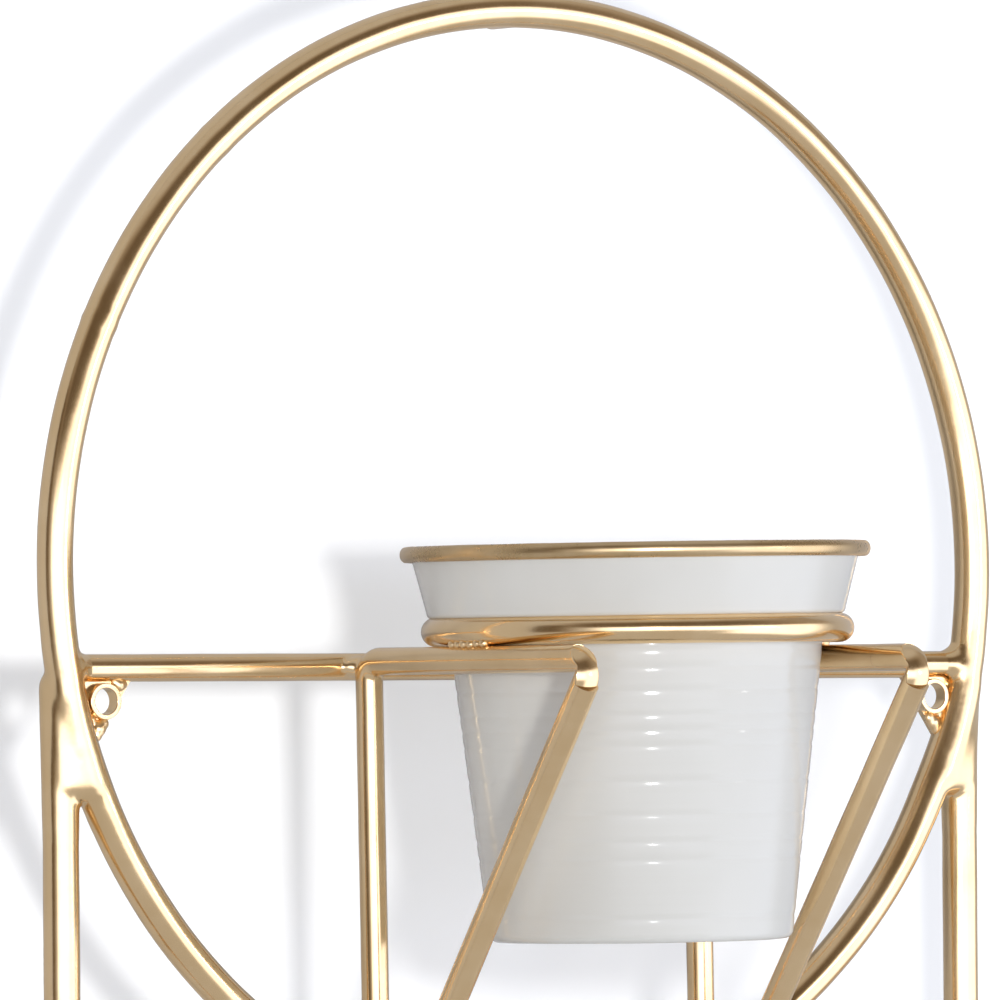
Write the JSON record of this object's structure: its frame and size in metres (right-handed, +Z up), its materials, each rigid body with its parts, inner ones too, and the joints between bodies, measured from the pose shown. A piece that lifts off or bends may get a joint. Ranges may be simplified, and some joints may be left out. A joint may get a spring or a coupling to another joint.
{
  "type": "wall planter",
  "caption": "Wall planter: round rod hoops stacked in a slim frame, each with a crossbar and bent-rod brackets that carry a tapered metal pot, lifted out of its ring.",
  "frame": {"origin": "middle of the back face of the top standoff, on the wall plane", "axes": "+X to the right for someone facing the wall, +Y into the wall, +Z up; the pots stand out toward -Y"},
  "size_m": [0.3048, 0.1275, 0.6098],
  "materials": {
    "frame_gold": "satin gold lacquer on steel rod",
    "pot_enamel": "glossy grey-white enamel on spun steel",
    "rim_gold": "satin gold lacquer on a rolled bead"
  },
  "bodies": {
    "frame": {"upper_hoop": "frame_gold", "lower_hoop": "frame_gold", "left_side_rod": "frame_gold", "right_side_rod": "frame_gold", "upper_crossbar": "frame_gold", "lower_crossbar": "frame_gold", "upper_left_bracket": "frame_gold", "upper_right_bracket": "frame_gold", "lower_left_bracket": "frame_gold", "lower_right_bracket": "frame_gold", "upper_pot_ring": "frame_gold", "lower_pot_ring": "frame_gold", "left_wall_eyelet": "frame_gold", "right_wall_eyelet": "frame_gold", "left_gusset": "frame_gold", "right_gusset": "frame_gold", "top_standoff": "frame_gold", "bottom_standoff": "frame_gold", "left_standoff": "frame_gold", "right_standoff": "frame_gold"},
    "upper_planter": {"upper_pot": "pot_enamel", "upper_pot_rim": "rim_gold"},
    "lower_planter": {"lower_pot": "pot_enamel", "lower_pot_rim": "rim_gold"}
  },
  "joints": [
    {"name": "upper_pot_lift", "type": "slide", "parent": "frame", "child": "upper_planter", "axis": [0, 0, 1], "range_m": [0, 0.095]},
    {"name": "lower_pot_lift", "type": "slide", "parent": "frame", "child": "lower_planter", "axis": [0, 0, 1], "range_m": [0, 0.095]}
  ]
}
